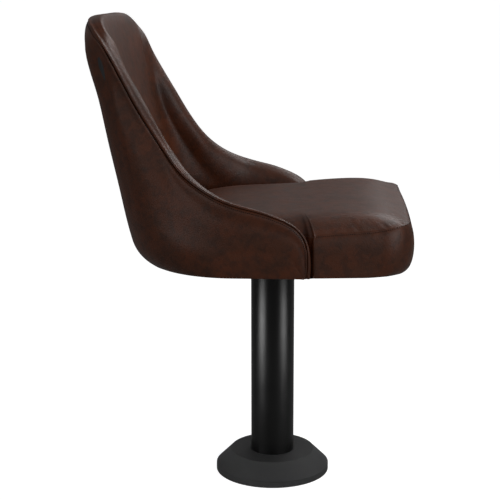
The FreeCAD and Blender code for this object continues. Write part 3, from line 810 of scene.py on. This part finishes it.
rim_stitch_line = round_over(seam + down_panel * STITCH_INSET)
turn_in = 2 * SEAM_DEPTH / SEAM_ROUND * (1 - STITCH_INSET / SEAM_ROUND)
rim_stitch_normal = unit(face_out - down_panel * turn_in)
rim_stitches = stitches("rim_stitches", right_to_left(rim_stitch_line) * MM,
                        right_to_left(rim_stitch_normal))
stitched = int(np.argmax(plan[:, 1] > CUSHION_STITCHES_END_Y))
cushion_stitch_line = lerp(top_boxing_row, seam_row, CUSHION_STITCHES_UP)[:stitched]
seam_moves = swelling.at(cushion_stitch_line * MM, SWELL_MOST) * SEAM_KEPT
cushion_stitch_line = cushion_stitch_line + seam_moves / MM
cushion_stitch_normal = np.zeros((stitched, 3))
cushion_stitch_normal[:, :2] = normal[:stitched]
cushion_stitches = stitches("cushion_stitches", left_to_right(cushion_stitch_line) * MM,
                            left_to_right(cushion_stitch_normal))

# Materials


class Nodes:
    """Short calls for building a material's nodes."""

    SOCKETS = {"base": "Base Color", "rough": "Roughness", "metal": "Metallic",
               "specular": "Specular IOR Level", "sheen": "Sheen Weight",
               "sheen_rough": "Sheen Roughness", "sheen_tint": "Sheen Tint", "normal": "Normal"}

    def __init__(self, name):
        self.material = bpy.data.materials.new(name)
        self.material.use_nodes = True
        self.tree = self.material.node_tree
        self.shader = self.tree.nodes["Principled BSDF"]
        self.where = self.add("ShaderNodeTexCoord").outputs["Object"]

    def add(self, kind, **settings):
        node = self.tree.nodes.new(kind)
        for key, value in settings.items():
            setattr(node, key, value)
        return node

    def link(self, source, target):
        self.tree.links.new(source, target)

    def noise(self, scale, detail=2.0, rough=0.5, distortion=0.0, at=None):
        node = self.add("ShaderNodeTexNoise")
        node.inputs["Scale"].default_value = scale
        node.inputs["Detail"].default_value = detail
        node.inputs["Roughness"].default_value = rough
        node.inputs["Distortion"].default_value = distortion
        self.link(at or self.where, node.inputs["Vector"])
        return node.outputs["Fac"]

    def cells(self, scale, feature="F1"):
        node = self.add("ShaderNodeTexVoronoi", feature=feature)
        node.inputs["Scale"].default_value = scale
        self.link(self.where, node.inputs["Vector"])
        return node.outputs["Distance"]

    def ramp(self, value, *stops):
        node = self.add("ShaderNodeValToRGB")
        stored = node.color_ramp.elements
        while len(stored) < len(stops):
            stored.new(0.5)
        for element, (position, colour) in zip(stored, stops):
            element.position = position
            element.color = (*colour, 1.0)
        self.link(value, node.inputs["Fac"])
        return node.outputs["Color"]

    def math(self, operation, a, b):
        node = self.add("ShaderNodeMath", operation=operation)
        for socket, value in zip(node.inputs, (a, b)):
            if isinstance(value, (int, float)):
                socket.default_value = value
            else:
                self.link(value, socket)
        return node.outputs[0]

    def multiply(self, amount, a, b):
        """The colour a darkened by an amount of the colour b."""
        node = self.add("ShaderNodeMix", data_type="RGBA", blend_type="MULTIPLY")
        factor, first, second = (node.inputs[i] for i in (0, 6, 7))
        factor.default_value = amount
        self.link(a, first)
        self.link(b, second)
        return node.outputs[2]

    def between(self, low, high, value):
        node = self.add("ShaderNodeMapRange")
        node.inputs["To Min"].default_value = low
        node.inputs["To Max"].default_value = high
        self.link(value, node.inputs["Value"])
        return node.outputs["Result"]

    def stretched(self, *scale):
        node = self.add("ShaderNodeMapping")
        node.inputs["Scale"].default_value = scale
        self.link(self.where, node.inputs["Vector"])
        return node.outputs["Vector"]

    def bump(self, value, strength, distance, normal=None):
        node = self.add("ShaderNodeBump")
        node.inputs["Strength"].default_value = strength
        node.inputs["Distance"].default_value = distance
        self.link(value, node.inputs["Height"])
        if normal is not None:
            self.link(normal, node.inputs["Normal"])
        return node.outputs["Normal"]

    def set(self, **values):
        """Set or link the shader's sockets, each by its short name."""
        for key, value in values.items():
            socket = self.shader.inputs[self.SOCKETS[key]]
            if isinstance(value, (int, float)):
                socket.default_value = value
            elif isinstance(value, tuple):
                socket.default_value = (*value, 1.0)
            else:
                self.link(value, socket)
        return self.material


def darker(colour, share):
    return tuple(c * share for c in colour)


def leather():
    n = Nodes("brown_leather")
    patches = n.ramp(n.noise(16.0, 4.0, 0.62, 0.6),
                     (0.30, (0.068, 0.0190, 0.0056)), (0.46, (0.084, 0.0210, 0.0050)),
                     (0.60, (0.104, 0.0235, 0.0046)), (0.74, (0.090, 0.0240, 0.0062)))
    flecks = n.ramp(n.noise(70.0, 3.0, 0.6, 0.4),
                    (0.38, (0.40, 0.44, 0.52)), (0.54, (1.0, 1.0, 1.0)))
    tone = n.multiply(0.55, patches, flecks)
    rough = n.between(0.37, 0.50, n.noise(26.0, 3.0, 0.6))
    creases = n.bump(n.noise(34.0, 5.0, 0.62, 1.2), 0.24, 0.0022)
    pores = n.bump(n.cells(520.0, "SMOOTH_F1"), 0.45, 0.00042, creases)
    fine = n.bump(n.noise(900.0, 3.0, 0.6), 0.18, 0.00018, pores)
    return n.set(base=tone, rough=rough, specular=0.50, sheen=0.04, sheen_rough=0.35,
                 sheen_tint=(0.86, 0.80, 0.78), normal=fine)


def coated(name, colour, rough, grain, specular=0.35):
    n = Nodes(name)
    shade = n.ramp(n.noise(9.0, 3.0), (0.35, darker(colour, 0.82)), (0.65, colour))
    worn = n.between(rough - 0.04, rough + 0.05, n.noise(48.0, 3.0))
    return n.set(base=shade, rough=worn, specular=specular,
                 normal=n.bump(n.noise(grain, 2.0), 0.12, 0.00016))


def steel(name, colour, rough):
    n = Nodes(name)
    lines = n.noise(60.0, 3.0, at=n.stretched(1.0, 1.0, 40.0))
    shade = n.ramp(lines, (0.3, darker(colour, 0.8)), (0.7, colour))
    return n.set(base=shade, rough=rough, metal=1.0, normal=n.bump(lines, 0.08, 0.0001))


def wood():
    n = Nodes("ply_board")
    grain = n.noise(7.0, 5.0, 0.6, 0.8, at=n.stretched(1.0, 9.0, 160.0))
    tone = n.ramp(grain, (0.3, (0.30, 0.19, 0.10)), (0.7, (0.50, 0.36, 0.21)))
    return n.set(base=tone, rough=0.7, specular=0.3, normal=n.bump(grain, 0.2, 0.0003))


def cloth_sheet():
    n = Nodes("dust_cloth")
    weave = n.cells(900.0)
    tone = n.ramp(weave, (0.2, (0.004, 0.004, 0.004)), (0.8, (0.016, 0.016, 0.016)))
    return n.set(base=tone, rough=0.92, specular=0.1, normal=n.bump(weave, 0.5, 0.0003))


def plastic(name, colour, rough):
    n = Nodes(name)
    tone = n.ramp(n.noise(30.0, 2.0), (0.35, darker(colour, 0.88)), (0.65, colour))
    return n.set(base=tone, rough=rough, specular=0.4,
                 normal=n.bump(n.noise(1400.0, 2.0), 0.15, 0.0001))


def thread():
    n = Nodes("dark_thread")
    twist = n.noise(2600.0, 2.0)
    tone = n.ramp(twist, (0.3, (0.006, 0.0034, 0.0026)), (0.7, (0.014, 0.008, 0.006)))
    return n.set(base=tone, rough=0.8, specular=0.15, normal=n.bump(twist, 0.4, 0.0001))


FINISH = {
    "column_tube": coated("satin_black", (0.003, 0.003, 0.0031), 0.30, 900.0, 0.3),
    "floor_plate": coated("plate_black", (0.013, 0.013, 0.013), 0.5, 700.0),
    "base_cover": coated("matt_black", (0.054, 0.054, 0.055), 0.55, 800.0, 0.2),
    "swivel_housing": steel("turned_steel", (0.42, 0.42, 0.43), 0.34),
    "spindle": steel("ground_steel", (0.5, 0.5, 0.51), 0.26),
    "upper_bush": plastic("bush_plastic", (0.32, 0.30, 0.26), 0.5),
    "lower_bush": plastic("bush_plastic_low", (0.32, 0.30, 0.26), 0.5),
    "thrust_washer": plastic("washer_plastic", (0.36, 0.34, 0.30), 0.45),
    "keeper_washer": steel("zinc_washer", (0.56, 0.57, 0.6), 0.3),
    "retaining_ring": steel("spring_steel", (0.18, 0.18, 0.19), 0.4),
    "seat_plate": coated("seat_plate_black", (0.012, 0.012, 0.012), 0.48, 700.0),
    "plate_bolts": steel("zinc_bolt", (0.56, 0.57, 0.6), 0.32),
    "plate_washers": steel("zinc_plate_washer", (0.58, 0.59, 0.62), 0.32),
    "threaded_inserts": steel("zinc_insert", (0.52, 0.53, 0.56), 0.36),
    "seat_board": wood(),
    "dust_cover": cloth_sheet(),
    "shell_frame": plastic("shell_plastic", (0.045, 0.045, 0.047), 0.55),
    "shell_screws": steel("zinc_screw", (0.5, 0.51, 0.53), 0.36),
}
for name, material in FINISH.items():
    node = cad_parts[name]
    node.data.materials.clear()
    node.data.materials.append(material)

leathers = (outer, inner, cushion)
threads = (rim_stitches, cushion_stitches)
leather_brown = leather()
thread_dark = thread()
for obj in leathers:
    obj.data.materials.append(leather_brown)
for obj in threads:
    obj.data.materials.append(thread_dark)

# Modifiers, bodies, and the CAD pieces hidden that the new pieces replace

skin = outer.modifiers.new("skin", "SOLIDIFY")
skin.thickness = SKIN * MM
skin.offset = -1.0
rounding = cushion.modifiers.new("rounding", "SUBSURF")
rounding.levels = 1
rounding.render_levels = 1

for obj in leathers + threads:
    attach(obj, "seat")
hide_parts("outer_cover")
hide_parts("inner_pad")
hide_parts("seat_cushion")

# Studio: a pale floor and a plain white surround that shows at full strength to the camera only

FLOOR_WIDTH = 240.0
FLOOR_PLACE = (60.0, 0.0, 0.0)
FLOOR_GLOW = 0.95
SURROUND_LIGHT = 0.176
SEAT_AIM = (0.0, 0.05, 0.6)
COLUMN_AIM = (0.0, 0.0, 0.17)
COLUMN_SPREAD = 50.0


def floor_material():
    n = Nodes("studio_floor")
    path = n.add("ShaderNodeLightPath")
    glow = n.math("MULTIPLY", path.outputs["Is Camera Ray"], FLOOR_GLOW)
    n.link(glow, n.shader.inputs["Emission Strength"])
    n.shader.inputs["Emission Color"].default_value = (1.0, 1.0, 1.0, 1.0)
    tone = n.ramp(n.noise(0.4, 2.0), (0.4, (0.33, 0.33, 0.33)), (0.6, (0.36, 0.36, 0.36)))
    return n.set(base=tone, rough=0.9, specular=0.1)


bpy.ops.mesh.primitive_plane_add(size=FLOOR_WIDTH, location=FLOOR_PLACE)
floor = bpy.context.object
floor.name = "studio_floor"
floor.data.materials.append(floor_material())

world = bpy.data.worlds.new("studio")
bpy.context.scene.world = world
world.use_nodes = True
tree = world.node_tree
background = tree.nodes["Background"]
path = tree.nodes.new("ShaderNodeLightPath")
strength = tree.nodes.new("ShaderNodeMapRange")
strength.inputs["To Min"].default_value = SURROUND_LIGHT
strength.inputs["To Max"].default_value = 1.0
tree.links.new(path.outputs["Is Camera Ray"], strength.inputs["Value"])
tree.links.new(strength.outputs["Result"], background.inputs["Strength"])
background.inputs["Color"].default_value = (1.0, 1.0, 1.0, 1.0)


def lamp(name, place, aim, size, power, spread=180.0):
    light = bpy.data.lights.new(name, "AREA")
    light.shape = "RECTANGLE"
    light.size, light.size_y = size
    light.energy = power
    light.spread = math.radians(spread)
    obj = bpy.data.objects.new(name, light)
    bpy.context.scene.collection.objects.link(obj)
    obj.location = place
    direction = Vector(aim) - Vector(place)
    obj.rotation_euler = direction.to_track_quat("-Z", "Y").to_euler()
    obj.visible_camera = False


lamp("far_front", (2.1, -1.1, 2.2), SEAT_AIM, (1.4, 1.0), 12.6)
lamp("front_near", (-1.9, -2.0, 1.2), SEAT_AIM, (1.6, 1.4), 13.7)
lamp("top_small", (0.25, -1.05, 2.0), SEAT_AIM, (0.5, 0.4), 8.3)
lamp("rear_near", (-1.9, 1.8, 1.4), SEAT_AIM, (1.6, 1.4), 4.8)
lamp("near_low", (-2.6, 0.1, 0.9), SEAT_AIM, (2.0, 1.2), 1.5)
lamp("column_left", (-0.336, 0.497, 0.14), COLUMN_AIM, (0.60, 0.10), 0.36, COLUMN_SPREAD)
lamp("column_right", (-0.27, -0.53, 0.14), COLUMN_AIM, (0.60, 0.10), 0.24, COLUMN_SPREAD)

# Camera, at the photograph's place

SENSOR = 36.0
LENS = 90.0
CAMERA_PLACE = (-2.1413, -0.0898, 0.8578)
CAMERA_DOWN = 12.0
CAMERA_LEFT = 3.0

camera_data = bpy.data.cameras.new("photo_camera")
camera = bpy.data.objects.new("photo_camera", camera_data)
bpy.context.scene.collection.objects.link(camera)
camera_data.sensor_fit = "HORIZONTAL"
camera_data.sensor_width = SENSOR
camera_data.lens = LENS
camera_data.shift_x = -0.02
camera_data.clip_end = 400.0
pitch = math.radians(CAMERA_DOWN)
yaw = math.radians(CAMERA_LEFT)
level = math.cos(pitch)
look = Vector((level * math.cos(yaw), level * math.sin(yaw), -math.sin(pitch)))
camera.location = CAMERA_PLACE
camera.rotation_euler = look.to_track_quat("-Z", "Y").to_euler()
bpy.context.scene.camera = camera
bpy.context.scene.view_settings.view_transform = "Standard"
